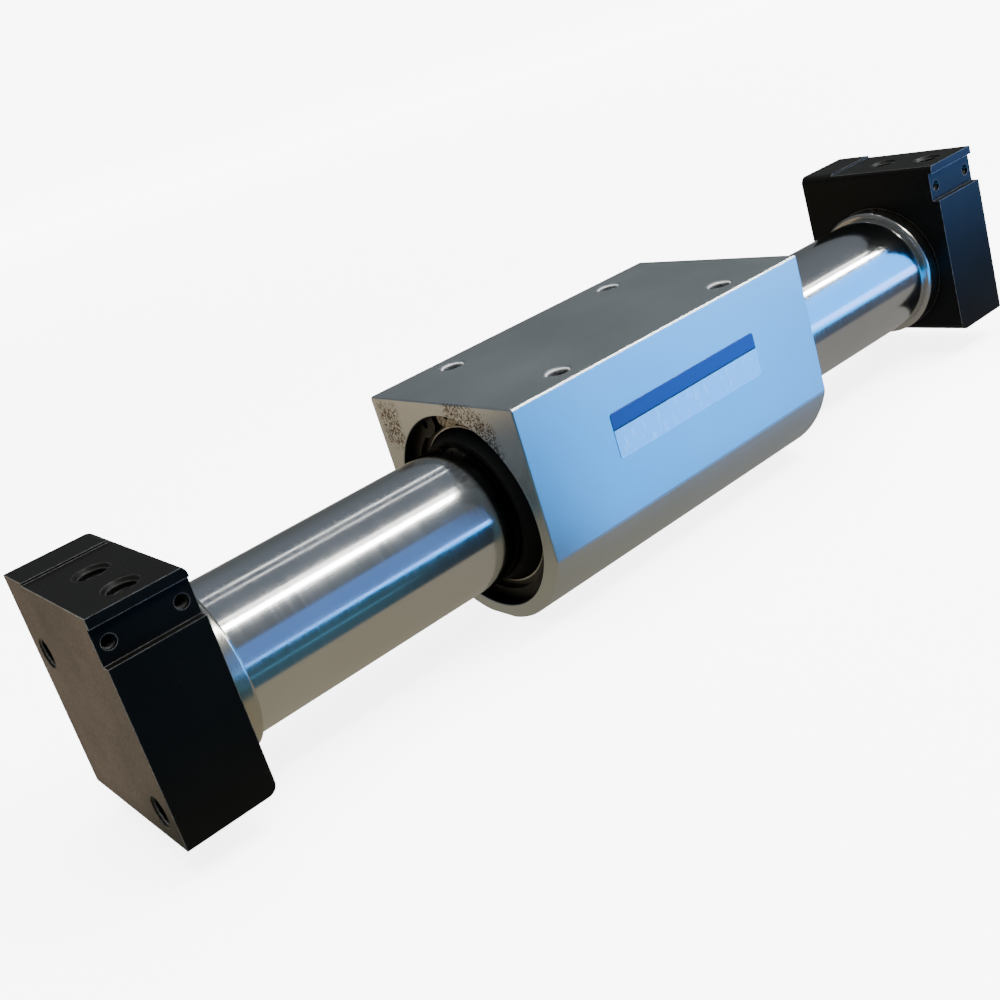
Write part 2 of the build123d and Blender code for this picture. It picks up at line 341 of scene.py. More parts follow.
# A metal with grain, broad tone changes and worn edges
def makeMetalFinish(name, look):
    finish = newFinish(name)
    tree, shader = inside(finish)
    grain = placeGroup(tree, surfaceGrain, Stretch=look["stretch"], Scale=look["grainScale"])
    tone = placeGroup(tree, surfaceGrain, Scale=look["toneScale"], Detail=2.0)
    worn = placeGroup(tree, edgeWear, Radius=look["wearRadius"], Amount=look["wear"],
                      Breakup=look["wearBreakup"])
    colour = blend(tree, rise(tree, tone, *noiseReach["alone"]), look["dark"], look["light"])
    feed(tree, shader.inputs["Base Color"], blend(tree, worn, colour, look["edge"]))
    both = mathNode(tree, "ADD", grain, tone)
    feed(tree, shader.inputs["Roughness"], span(tree, both, *noiseReach["summed"], *look["roughness"]))
    addBump(tree, shader, grain, look["bump"], look["bumpDepth"])
    shader.inputs["Metallic"].default_value = look["metallic"]
    return finish


metalLooks = {
    "sliderSilver": dict(
        dark=(0.60, 0.62, 0.61), light=(0.66, 0.68, 0.67), edge=(0.95, 0.95, 0.95), metallic=1.0,
        roughness=(0.34, 0.44), stretch=(1.0, 1.0, 1.0), grainScale=2600.0, toneScale=35.0, wear=3.0,
        wearRadius=0.00014, wearBreakup=250.0, bump=0.12, bumpDepth=0.00003),
    "polishedTube": dict(
        dark=(0.66, 0.65, 0.64), light=(0.76, 0.75, 0.74), edge=(0.8, 0.8, 0.8), metallic=1.0,
        roughness=(0.06, 0.20), stretch=(60.0, 1.0, 1.0), grainScale=60.0, toneScale=30.0, wear=1.0,
        wearRadius=0.0002, wearBreakup=250.0, bump=0.16, bumpDepth=0.00002),
    "collarSteel": dict(
        dark=(0.50, 0.49, 0.46), light=(0.62, 0.60, 0.57), edge=(0.7, 0.69, 0.66), metallic=1.0,
        roughness=(0.16, 0.30), stretch=(30.0, 1.0, 1.0), grainScale=90.0, toneScale=80.0, wear=1.0,
        wearRadius=0.0002, wearBreakup=250.0, bump=0.12, bumpDepth=0.00003),
    # Freshly cut metal at the slider's hole mouths, painted brighter and less metallic than it is, as a
    # painted highlight
    "cutRim": dict(
        dark=(0.80, 0.79, 0.76), light=(0.93, 0.92, 0.90), edge=(0.95, 0.95, 0.94), metallic=0.72,
        roughness=(0.26, 0.40), stretch=(1.0, 1.0, 1.0), grainScale=1800.0, toneScale=300.0, wear=1.0,
        wearRadius=0.0001, wearBreakup=600.0, bump=0.1, bumpDepth=0.00002),
    # Painted shade: the turned aluminium is darkened nearly to black for the shade it lies in at the
    # slider's ends
    "turnedAluminium": dict(
        dark=(0.05, 0.047, 0.043), light=(0.09, 0.085, 0.078), edge=(0.3, 0.29, 0.27), metallic=1.0,
        roughness=(0.34, 0.5), stretch=(8.0, 1.0, 1.0), grainScale=400.0, toneScale=60.0, wear=1.0,
        wearRadius=0.0002, wearBreakup=300.0, bump=0.15, bumpDepth=0.00003),
    "springSteel": dict(
        dark=(0.022, 0.021, 0.020), light=(0.05, 0.047, 0.044), edge=(0.20, 0.185, 0.16), metallic=1.0,
        roughness=(0.30, 0.48), stretch=(1.0, 1.0, 1.0), grainScale=1500.0, toneScale=120.0, wear=2.5,
        wearRadius=0.00025, wearBreakup=500.0, bump=0.2, bumpDepth=0.00004),
    "groundSteel": dict(
        dark=(0.34, 0.34, 0.34), light=(0.46, 0.46, 0.45), edge=(0.6, 0.6, 0.6), metallic=1.0,
        roughness=(0.25, 0.4), stretch=(20.0, 1.0, 1.0), grainScale=150.0, toneScale=80.0, wear=1.5,
        wearRadius=0.0002, wearBreakup=300.0, bump=0.12, bumpDepth=0.00003),
    "nickelPlate": dict(
        dark=(0.60, 0.57, 0.52), light=(0.70, 0.67, 0.62), edge=(0.8, 0.78, 0.74), metallic=1.0,
        roughness=(0.12, 0.24), stretch=(1.0, 1.0, 1.0), grainScale=900.0, toneScale=70.0, wear=1.0,
        wearRadius=0.0002, wearBreakup=300.0, bump=0.05, bumpDepth=0.00002),
}
metals = {name: makeMetalFinish(name, look) for name, look in metalLooks.items()}

tintLook = dict(
    reach=(0.0950, 0.0977),  # distance from the middle of the cylinder, up to the block's face
    stops=((0.0, (1.0, 0.97, 0.92)), (0.35, (1.0, 0.94, 0.82)), (0.62, (0.92, 0.80, 0.56)),
           (0.82, (0.70, 0.52, 0.30)), (1.0, (0.42, 0.28, 0.16))),
)


# Straw to brown heat tint on the collars
def addHeatTint():
    tree, shader = inside(metals["collarSteel"])
    reach = mathNode(tree, "ABSOLUTE", axisPlace(tree)["along"])
    colour = addRamp(tree, rise(tree, reach, *tintLook["reach"]), tintLook["stops"], "LINEAR")
    base = shader.inputs["Base Color"]
    tint = addNode(tree, "ShaderNodeMix", data_type="RGBA", blend_type="MULTIPLY")
    tint.inputs[0].default_value = 1.0
    feed(tree, tint.inputs[6], base.links[0].from_socket)
    feed(tree, tint.inputs[7], colour)
    feed(tree, base, tint.outputs[2])


dustAndBoreShadeLook = dict(
    face=(-0.0365, -0.0363),  # keeps the dust on the end face
    cornerSide=(0.0150, 0.0200, 0.0015), cornerUp=(0.0130, 0.0205, 0.0020),
    archSide=(-0.0150, -0.0030, 0.0020), archFar=(0.0195, 0.0235, 0.0015), archUp=(0.011, 0.013),
    speckScale=2600.0, speckDetail=8.0, speckReach=(0.485, 0.55), dust=(0.095, 0.058, 0.036), dustCover=0.85,
    # painted shade: the bore is darkened nearly to black
    bore=(0.01978, 0.01986), boreShadeColour=(0.012, 0.011, 0.009), boreShadeCover=0.96,
    scratchDirection=(3.0, 14.0, 14.0), scratchScale=110.0, scratchAmount=0.25, scratch=(0.85, 0.86, 0.86),
    scratchCover=0.15,
)


# Brown dust on the slider's end face above the bore, painted shade darkening the bore, and faint scratches
# all over
def addSliderDustAndBoreShade():
    look = dustAndBoreShadeLook
    tree, shader = inside(metals["sliderSilver"])
    place = axisPlace(tree)
    cornerSide = softBox(tree, place["side"], *look["cornerSide"])
    corner = times(tree, cornerSide, softBox(tree, place["up"], *look["cornerUp"]))
    archSide = softBox(tree, place["side"], *look["archSide"])
    arch = times(tree, archSide, softBox(tree, place["far"], *look["archFar"]))
    arch = times(tree, arch, rise(tree, place["up"], *look["archUp"]))
    patch = times(tree, mathNode(tree, "MAXIMUM", corner, arch), fall(tree, place["along"], *look["face"]))
    specks = placeGroup(tree, surfaceGrain, Scale=look["speckScale"], Detail=look["speckDetail"])
    dust = times(tree, rise(tree, specks, *look["speckReach"]), patch)
    weave(tree, shader, times(tree, dust, look["dustCover"]), look["dust"])
    # Painted shade: darkens the slider's bore, where it lies in shade
    boreShade = fall(tree, place["far"], *look["bore"])
    weave(tree, shader, times(tree, boreShade, look["boreShadeCover"]), look["boreShadeColour"])
    scratches = placeGroup(tree, fineScratches, Direction=look["scratchDirection"],
                           Scale=look["scratchScale"], Cover=look["scratchAmount"])
    weave(tree, shader, times(tree, scratches, look["scratchCover"]), look["scratch"])


plateRimLook = dict(far=(0.0159, 0.01625, 0.0001), colour=(0.62, 0.60, 0.55))


# The end plate's opening has a bright turned rim, against the painted shade on the rest of the plate
def addPlateRim():
    tree, shader = inside(metals["turnedAluminium"])
    weave(tree, shader, softBox(tree, axisPlace(tree)["far"], *plateRimLook["far"]), plateRimLook["colour"])


earPalePatchLook = dict(side=(-0.0035, 0.0045, 0.0008), up=(0.0160, 0.0168), speckScale=2600.0, speckDetail=5.0,
                   speckReach=(0.40, 0.58), least=0.2, colour=(0.42, 0.39, 0.31))


# A pale speckled patch on the topmost ear of the retaining ring
def addEarPalePatch():
    look = earPalePatchLook
    tree, shader = inside(metals["springSteel"])
    place = axisPlace(tree)
    ear = times(tree, softBox(tree, place["side"], *look["side"]), rise(tree, place["up"], *look["up"]))
    specks = placeGroup(tree, surfaceGrain, Scale=look["speckScale"], Detail=look["speckDetail"])
    cover = times(tree, ear, span(tree, specks, *look["speckReach"], look["least"], 1.0))
    weave(tree, shader, cover, look["colour"])


addHeatTint()
addSliderDustAndBoreShade()
addPlateRim()
addEarPalePatch()

blackLook = dict(
    dark=(0.0015, 0.0014, 0.0010), light=(0.0034, 0.0031, 0.0025), toneScale=60.0, grainScale=2400.0,
    edge=(0.44, 0.44, 0.42), edgeMetallic=0.8, wearRadius=0.00022, wear=2.2, wearBreakup=700.0,
    dust=(0.07, 0.066, 0.06), dustScale=1800.0, dustAmount=0.40, dustPatches=90.0, dustCover=0.08,
    roughness=(0.30, 0.46), bump=0.15, bumpDepth=0.00003, specular=0.18,
    portAlong=(0.1023, 0.1093, 0.0003), portSide=(-0.0155, 0.0035, 0.0003), portUp=(0.0205, 0.0215),
    portSpared=0.85,
)


# Black anodising on the end blocks, worn bare along the edges but hardly round the ports
def makeAnodisedBlack():
    look = blackLook
    finish = newFinish("anodisedBlack")
    tree, shader = inside(finish)
    tone = placeGroup(tree, surfaceGrain, Scale=look["toneScale"], Detail=3.0)
    grain = placeGroup(tree, surfaceGrain, Scale=look["grainScale"])
    wear = placeGroup(tree, edgeWear, Radius=look["wearRadius"], Amount=look["wear"],
                      Breakup=look["wearBreakup"])
    specks = placeGroup(tree, dustSpecks, Scale=look["dustScale"], Cover=look["dustAmount"],
                        Patches=look["dustPatches"])
    colour = blend(tree, tone, look["dark"], look["light"])
    colour = blend(tree, times(tree, specks, look["dustCover"]), colour, look["dust"])
    place = axisPlace(tree)
    reach = mathNode(tree, "ABSOLUTE", place["along"])
    portAlong = softBox(tree, reach, *look["portAlong"])
    port = times(tree, portAlong, softBox(tree, place["side"], *look["portSide"]))
    port = times(tree, port, span(tree, place["up"], *look["portUp"], 0.0, look["portSpared"]))
    worn = times(tree, wear, mathNode(tree, "SUBTRACT", 1.0, port))
    feed(tree, shader.inputs["Base Color"], blend(tree, worn, colour, look["edge"]))
    both = mathNode(tree, "ADD", grain, tone)
    feed(tree, shader.inputs["Roughness"], span(tree, both, *noiseReach["summed"], *look["roughness"]))
    addBump(tree, shader, grain, look["bump"], look["bumpDepth"])
    feed(tree, shader.inputs["Metallic"], times(tree, worn, look["edgeMetallic"]))
    shader.inputs["Specular IOR Level"].default_value = look["specular"]
    return finish


# Rubber or plastic: no metal, a faint mottle and specks of dust
def makeSoftFinish(name, look):
    finish = newFinish(name)
    tree, shader = inside(finish)
    tone = placeGroup(tree, surfaceGrain, Scale=look["toneScale"], Detail=3.0)
    specks = placeGroup(tree, dustSpecks, Scale=look["dustScale"], Cover=look["dustAmount"],
                        Patches=look["dustPatches"])
    colour = blend(tree, tone, look["dark"], look["light"])
    colour = blend(tree, times(tree, specks, look["dustCover"]), colour, look["dust"])
    feed(tree, shader.inputs["Base Color"], colour)
    feed(tree, shader.inputs["Roughness"], span(tree, tone, *noiseReach["alone"], *look["roughness"]))
    addBump(tree, shader, tone, look["bump"], look["bumpDepth"])
    shader.inputs["Specular IOR Level"].default_value = look["specular"]
    return finish


softLooks = {
    "sealRubber": dict(
        dark=(0.004, 0.004, 0.004), light=(0.008, 0.008, 0.007), toneScale=900.0, roughness=(0.55, 0.75),
        dust=(0.05, 0.04, 0.03), dustScale=2200.0, dustAmount=0.3, dustPatches=90.0, dustCover=0.6,
        bump=0.2, bumpDepth=0.00005, specular=0.2),
    "wearPlastic": dict(
        dark=(0.55, 0.50, 0.38), light=(0.68, 0.63, 0.50), toneScale=500.0, roughness=(0.4, 0.55),
        dust=(0.3, 0.25, 0.18), dustScale=2200.0, dustAmount=0.3, dustPatches=90.0, dustCover=0.6,
        bump=0.2, bumpDepth=0.00005, specular=0.5),
}
anodisedBlack = makeAnodisedBlack()
softs = {name: makeSoftFinish(name, look) for name, look in softLooks.items()}

finishes = {
    "block_black": anodisedBlack,
    "tube_steel": metals["polishedTube"],
    "slider_silver": metals["sliderSilver"],
    "plain_aluminium": metals["turnedAluminium"],
    "ring_steel": metals["springSteel"],
    "yoke_steel": metals["groundSteel"],
    "magnet_nickel": metals["nickelPlate"],
    "seal_rubber": softs["sealRubber"],
    "wear_plastic": softs["wearPlastic"],
}


def dressNode(node, finish):
    if not node.material_slots:
        node.data.materials.append(finish)
    for materialSlot in node.material_slots:
        materialSlot.material = finish


slotOf = {entry["node"]: entry["material_slot"] for entry in frame["record"]["subparts"]}
for nodeName, node in nodes.items():
    dressNode(node, finishes[slotOf[nodeName]])
for nodeName in ("tube_collar_left", "tube_collar_right"):
    dressNode(nodes[nodeName], metals["collarSteel"])
print("finishes on", len(nodes), "nodes")

tubeLook = dict(radius=0.0139, wall=0.0014, reach=0.1041, sides=256, smooth=40)


# The tube itself, finer than the frame's, so that its long reflections run straight
def makeTube():
    letGo()
    look = tubeLook
    bpy.ops.mesh.primitive_cylinder_add(vertices=look["sides"], radius=look["radius"],
                                        depth=2 * look["reach"], location=(0, 0, axisHeight),
                                        rotation=(0, math.pi / 2, 0))
    tube = bpy.context.active_object
    tube.name = "polishedTube"
    openPiece(tube)
    pickFaces(lambda normal: abs(normal.z) > 0.9)  # the two ends
    bpy.ops.mesh.inset(thickness=look["wall"], use_individual=True)
    bpy.ops.mesh.delete(type="ONLY_FACE")
    bore = look["radius"] - look["wall"]

    def onBore(point):
        return abs(math.hypot(point.x, point.y) - bore) < 1e-4

    pickEdges(lambda a, b: abs(a.z - b.z) < 1e-6 and onBore(a) and onBore(b))
    bpy.ops.mesh.bridge_edge_loops()
    bpy.ops.mesh.select_all(action="SELECT")
    bpy.ops.mesh.normals_make_consistent(inside=False)
    closePiece()
    smoothBelow(look["smooth"])
    tube.data.materials.append(metals["polishedTube"])
    putInPlace(tube, "cylinder")
    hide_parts("cylinder_tube")


makeTube()
print("tube made")

labelLook = dict(
    left=-0.0163, right=0.0242, bottom=0.0037, top=0.0127, thickness=0.00012, sunk=0.00001,
    corner=0.0007, cornerSteps=6, rimShare=0.3, smooth=20,
    # the field's light blue is a painted reflection of blue light
    fieldWithBlueReflection=(0.38, 0.69, 0.82), line=(0.010, 0.013, 0.03), bar=(0.022, 0.042, 0.19),
    lineFrom=0.625, barFrom=0.66,
    rubDirection=(9.0, 1.0, 2.5), rubScale=160.0, rubAmount=0.8, rubCover=0.6, rub=(0.85, 0.87, 0.88),
    rubMargin=0.02, grainScale=900.0, roughness=(0.28, 0.42), metallic=(0.75, 0.2), metallicMargin=0.01,
    bump=0.15, bumpDepth=0.00004,
)


# The label's film: a foil field, tinted light blue as a painted reflection of the blue light on that side,
# under a thin dark line and a blue bar
def makeLabelPrint():
    look = labelLook
    finish = newFinish("labelPrint")
    tree, shader = inside(finish)
    lineFrom = look["lineFrom"]
    height = rise(tree, axisPlace(tree)["up"], look["bottom"], look["top"])
    stops = ((0.0, look["fieldWithBlueReflection"]), (lineFrom, look["line"]), (look["barFrom"], look["bar"]))
    colour = addRamp(tree, height, stops, "CONSTANT")
    rubs = placeGroup(tree, fineScratches, Direction=look["rubDirection"], Scale=look["rubScale"],
                      Cover=look["rubAmount"])
    onField = fall(tree, height, lineFrom - look["rubMargin"], lineFrom)
    rubbed = times(tree, rubs, times(tree, onField, look["rubCover"]))
    feed(tree, shader.inputs["Base Color"], blend(tree, rubbed, colour, look["rub"]))
    grain = placeGroup(tree, surfaceGrain, Scale=look["grainScale"])
    feed(tree, shader.inputs["Roughness"], span(tree, grain, *noiseReach["alone"], *look["roughness"]))
    foil = span(tree, height, lineFrom - look["metallicMargin"], lineFrom, *look["metallic"])
    feed(tree, shader.inputs["Metallic"], foil)
    addBump(tree, shader, grain, look["bump"], look["bumpDepth"])
    return finish


def makeLabel():
    letGo()
    look = labelLook
    thickness = look["thickness"]
    size = (look["right"] - look["left"], thickness, look["top"] - look["bottom"])
    centre = ((look["left"] + look["right"]) / 2, sliderLow.y - thickness / 2 + look["sunk"],
              axisHeight + (look["top"] + look["bottom"]) / 2)
    bpy.ops.mesh.primitive_cube_add(size=1, location=centre, scale=size)
    label = bpy.context.active_object
    label.name = "sliderLabel"
    bpy.ops.object.transform_apply(location=False, rotation=False, scale=True)
    openPiece(label)
    pickEdges(lambda a, b: abs(a.y - b.y) > thickness / 2)
    bpy.ops.mesh.bevel(offset=look["corner"], segments=look["cornerSteps"], affect="EDGES")
    pickEdges(lambda a, b: a.y < 0 and b.y < 0)
    bpy.ops.mesh.bevel(offset=thickness * look["rimShare"], segments=1, affect="EDGES")
    closePiece()
    smoothBelow(look["smooth"])
    label.data.materials.append(makeLabelPrint())
    putInPlace(label, "slider")


makeLabel()
print("label made")

# On the slider, the bright mouths are a painted highlight and the dark threads are painted shade in the
# holes
threadLooks = {
    "slider": dict(hole=0.0021, pitch=0.0008, bite=0.00022, turns=8, top=0.0006, mouth=0.0024,
                   mouthTop=0.0002, mouthDepth=0.000175, glintMouthShadedThread=True),
    "port": dict(hole=0.0025, pitch=0.001, bite=0.00028, turns=6, top=0.0008, mouth=0.00315, mouthTop=0.0,
                 mouthDepth=0.00065, glintMouthShadedThread=False),
    "end": dict(hole=0.0025, pitch=0.001, bite=0.00028, turns=6, top=0.0006, mouth=0.0029, mouthTop=0.0,
                mouthDepth=0.0004, glintMouthShadedThread=False),
    "rail": dict(hole=0.00125, pitch=0.0005, bite=0.00012, turns=6, top=0.0002, mouth=0.0, glintMouthShadedThread=False),
}
threadDetail = dict(rootLift=0.00003, steps=28, merge=0.000001, join=0.000002, wall=0.00002, smooth=40)
mouthDetail = dict(sides=48, lift=0.00002, wall=0.000015, smooth=30)
holeSpacing = dict(
    sliderMiddle=0.0025, sliderAlong=0.0225, sliderSide=0.01625,
    blockAlong=0.1058, portSunk=0.00045, portAcross=0.012,
    faceAlong=0.114, faceSide=0.013, faceUp=0.0109,
    bandSunk=0.0017, bandUp=0.0189, bandAlong=0.006,
)


# Each hole's mouth and the way it faces
def listHoles():
    at = holeSpacing
    ends = (-1, 1)
    places = {"slider": [], "port": [], "end": [], "rail": []}
    for s in ends:
        for d in ends:
            along = at["sliderMiddle"] + s * at["sliderAlong"]
            places["slider"].append(((along, d * at["sliderSide"], sliderHigh.z), (0, 0, 1)))
            corner = (s * at["faceAlong"], d * at["faceSide"], axisHeight + d * at["faceUp"])
            places["end"].append((corner, (s, 0, 0)))
            along = s * at["blockAlong"] + d * at["bandAlong"]
            band = (along, blockLow.y + at["bandSunk"], axisHeight + at["bandUp"])
            places["rail"].append((band, (0, -1, 0)))
        for side in (0, -at["portAcross"]):
            port = (s * at["blockAlong"], side, blockHigh.z - at["portSunk"])
            places["port"].append((port, (0, 0, 1)))
    return places


# The countersink and the plain wall above the thread, as one thin skin
def makeMouth(look):
    letGo()
    detail = mouthDetail
    radius = look["mouth"] - detail["lift"]
    bpy.ops.mesh.primitive_circle_add(vertices=detail["sides"], radius=radius, fill_type="NOTHING",
                                      location=(0, 0, detail["lift"] - look["mouthTop"]))
    mouth = bpy.context.active_object
    bpy.ops.object.mode_set(mode="EDIT")
    bpy.ops.mesh.select_all(action="SELECT")
    bpy.ops.mesh.extrude_region_move(TRANSFORM_OT_translate={"value": (0, 0, -look["mouthDepth"])})
    inward = (look["hole"] - detail["lift"]) / radius
    bpy.ops.transform.resize(value=(inward, inward, 1))
    drop = look["mouthTop"] + look["mouthDepth"] - look["top"]
    bpy.ops.mesh.extrude_region_move(TRANSFORM_OT_translate={"value": (0, 0, drop)})
    bpy.ops.mesh.select_all(action="SELECT")
    bpy.ops.mesh.normals_make_consistent(inside=True)
    closePiece()
    skin = mouth.modifiers.new("skin", "SOLIDIFY")
    skin.thickness = detail["wall"]
    skin.offset = 0.0
    bpy.ops.object.modifier_apply(modifier="skin")
    smoothBelow(detail["smooth"])
    # On the slider the mouth takes the painted highlight
    mouth.data.materials.append(metals["cutRim"] if look["glintMouthShadedThread"] else anodisedBlack)


# One pitch of the flank is drawn as an edge, wound down the hole and given a thin wall
def makeThread(name, look):
    letGo()
    detail = threadDetail
    pitch, bite = look["pitch"], look["bite"]
    root = look["hole"] - detail["rootLift"]
    bpy.ops.mesh.primitive_plane_add(size=pitch, location=(0, 0, 0))
    thread = bpy.context.active_object
    thread.name = name
    openPiece(thread)
    pickPoints(lambda point: point.x > 0)
    bpy.ops.mesh.delete(type="VERT")
    bpy.ops.mesh.select_all(action="SELECT")
    bpy.ops.mesh.subdivide(number_cuts=1)
    pickPoints(lambda point: abs(point.y) > pitch * 0.4)  # the two ends, not the point between
    bpy.ops.transform.translate(value=(bite, 0, 0))
    bpy.ops.mesh.select_all(action="SELECT")
    bpy.ops.transform.rotate(value=math.pi / 2, orient_axis="X", center_override=(0, 0, 0))
    bpy.ops.transform.translate(value=(pitch / 2 + root - bite, 0, -look["top"] - pitch / 2))
    closePiece()
    winding = thread.modifiers.new("winding", "SCREW")
    winding.axis = "Z"
    winding.screw_offset = -pitch
    winding.iterations = look["turns"]
    winding.steps = winding.render_steps = detail["steps"]
    winding.use_merge_vertices = True
    winding.merge_threshold = detail["merge"]
    bpy.ops.object.modifier_apply(modifier="winding")
    openPiece(thread)
    bpy.ops.mesh.select_all(action="SELECT")
    bpy.ops.mesh.remove_doubles(threshold=detail["join"])
    bpy.ops.mesh.normals_make_consistent(inside=True)
    closePiece()
    wall = thread.modifiers.new("wall", "SOLIDIFY")
    wall.thickness = detail["wall"]
    wall.offset = -1.0
    bpy.ops.object.modifier_apply(modifier="wall")
    smoothBelow(detail["smooth"])
    # On the slider the thread is dark spring steel, as painted shade deep in the hole
    thread.data.materials.append(metals["springSteel"] if look["glintMouthShadedThread"] else anodisedBlack)
    if look["mouth"]:
        makeMouth(look)
        thread.select_set(True)
        bpy.context.view_layer.objects.active = thread
        bpy.ops.object.join()
    return thread


# Threads and mouths in the tapped holes, each modelled once and copied
def placeThreads():
    bodyOf = dict(slider="slider", port="cylinder", end="cylinder", rail="cylinder")
    holePlaces = listHoles()
    for kind, look in threadLooks.items():
        pattern = makeThread(kind + "Thread", look)
        for count, (place, outward) in enumerate(holePlaces[kind]):
            take(pattern)
            bpy.ops.object.duplicate(linked=False)
            copy = bpy.context.active_object
            copy.name = f"{kind}Thread{count + 1}"
            copy.rotation_euler = Vector(outward).to_track_quat("Z", "Y").to_euler()
            copy.location = place
            putInPlace(copy, bodyOf[kind])
        take(pattern)
        bpy.ops.object.delete()


placeThreads()
print("threads made")

crumbLook = dict(
    count=110, size=(0.00008, 0.00026), archShare=0.62, clearOf=0.0202,
    corner=((0.0150, 0.0200), (0.0130, 0.0210)), arch=((-0.0150, -0.0020), (0.0165, 0.0215)),
    turn=(0, 6), ragged=0.35, across=(0.6, 1.4), up=(0.5, 1.1), flat=0.5, smooth=50,
    soil=(0.05, 0.03, 0.018), pale=(0.20, 0.14, 0.09), mottleScale=4000.0, mottleDetail=4.0,
    roughness=(0.7, 0.95),
)


def makeSoil():
    look = crumbLook
    soil = newFinish("driedDirt")
    tree, shader = inside(soil)
    mottle = placeGroup(tree, surfaceGrain, Scale=look["mottleScale"], Detail=look["mottleDetail"])
    feed(tree, shader.inputs["Base Color"], blend(tree, mottle, look["soil"], look["pale"]))
    feed(tree, shader.inputs["Roughness"], span(tree, mottle, 0.0, 1.0, *look["roughness"]))
    return soil


# Crumbs of dirt on the slider's end face, in its far corner and over the bore
def makeCrumbs():
    random.seed(7)
    letGo()
    look = crumbLook
    made = []
    while len(made) < look["count"]:
        sideRange, upRange = look["arch"] if random.random() < look["archShare"] else look["corner"]
        side, up = random.uniform(*sideRange), random.uniform(*upRange)
        if math.hypot(side, up) < look["clearOf"]:
            continue
        size = random.uniform(*look["size"])
        turn = [random.uniform(*look["turn"]) for axis in range(3)]
        bpy.ops.mesh.primitive_ico_sphere_add(subdivisions=1, radius=size, rotation=turn,
                                              location=(sliderLow.x, side, axisHeight + up))
        crumb = bpy.context.active_object
        bpy.ops.object.mode_set(mode="EDIT")
        bpy.ops.mesh.select_all(action="SELECT")
        bpy.ops.transform.vertex_random(offset=size * look["ragged"], seed=len(made) + 1)
        bpy.ops.transform.resize(value=(1.0, random.uniform(*look["across"]), random.uniform(*look["up"])))
        closePiece()
        bpy.ops.object.transform_apply(location=False, rotation=True, scale=True)
        crumb.scale.x = look["flat"]
        made.append(crumb)
    letGo()
    for crumb in made:
        crumb.select_set(True)
    bpy.context.view_layer.objects.active = made[0]
    bpy.ops.object.join()
    crumbs = bpy.context.active_object
    crumbs.name = "endFaceDirt"
    smoothBelow(look["smooth"])
    crumbs.data.materials.clear()
    crumbs.data.materials.append(makeSoil())
    putInPlace(crumbs, "slider")


makeCrumbs()
print("dirt made")

# Painted reflections: what the metals see in the floor, which glows for them though it is no lamp. Each pair
# of numbers is where one colour turns into the next, in metres
paintedReflectionLook = dict(
    left=(0.32, 0.295, 0.22), right=(0.305, 0.30, 0.283), leftToRight=(-0.06, 0.06),
    behind=(0.80, 0.64, 0.47), behindAlong=(-0.117, -0.114), behindAcross=(0.0, 0.02),
    edge=(-0.044, -0.043), leftSlant=0.6,
    teal=(0.045, 0.108, 0.148), dark=(0.03, 0.045, 0.06), tealToDark=(-0.080, -0.060),
    blue=(0.0, 1.30, 4.1), darkToBlue=(-0.042, -0.036),
    rightBlue=(0.0, 1.65, 4.7), blueToRight=(0.06, 0.13),
    farBlue=(1.1, 2.3, 5.8), rightToFar=(0.205, 0.23),
    stripe=(0.15, 0.55, 0.9), stripeAcross=(-0.082, -0.078, 0.001), stripeEnd=(-0.090, -0.070),
    shaded=(0.10, 0.115, 0.145), rightSlant=1.145, shadedFrom=(0.021, 0.029), shadedAcross=(-0.116, -0.092),
)


# Painted reflections: a warm table top, and beyond its near edge teal at the left, then dark, then painted
# blue light, with a painted shaded band
def makePaintedReflections(tree):
    look = paintedReflectionLook
    parts = addNode(tree, "ShaderNodeSeparateXYZ")
    feed(tree, parts.inputs[0], objectPlace(tree))
    along, across = parts.outputs["X"], parts.outputs["Y"]

    def slanted(slope):
        return mathNode(tree, "ADD", along, times(tree, across, slope))

    table = blend(tree, rise(tree, along, *look["leftToRight"]), look["left"], look["right"])
    corner = times(tree, fall(tree, along, *look["behindAlong"]), rise(tree, across, *look["behindAcross"]))
    table = blend(tree, corner, table, look["behind"])
    leftLine = slanted(look["leftSlant"])
    beyond = blend(tree, rise(tree, leftLine, *look["tealToDark"]), look["teal"], look["dark"])
    beyond = blend(tree, rise(tree, leftLine, *look["darkToBlue"]), beyond, look["blue"])
    beyond = blend(tree, rise(tree, along, *look["blueToRight"]), beyond, look["rightBlue"])
    beyond = blend(tree, rise(tree, along, *look["rightToFar"]), beyond, look["farBlue"])
    stripe = softBox(tree, across, *look["stripeAcross"])
    stripe = times(tree, stripe, fall(tree, leftLine, *look["stripeEnd"]))
    beyond = blend(tree, stripe, beyond, look["stripe"])
    rightLine = slanted(look["rightSlant"])
    band = rise(tree, rightLine, *look["shadedFrom"])
    band = times(tree, band, rise(tree, across, *look["shadedAcross"]))
    beyond = blend(tree, band, beyond, look["shaded"])
    return blend(tree, fall(tree, across, *look["edge"]), table, beyond)


floorLook = dict(side=8.0, colour=(0.90, 0.90, 0.895), roughness=0.8, glowReach=(0.3, 1.8), glow=(5.0, 8.4))


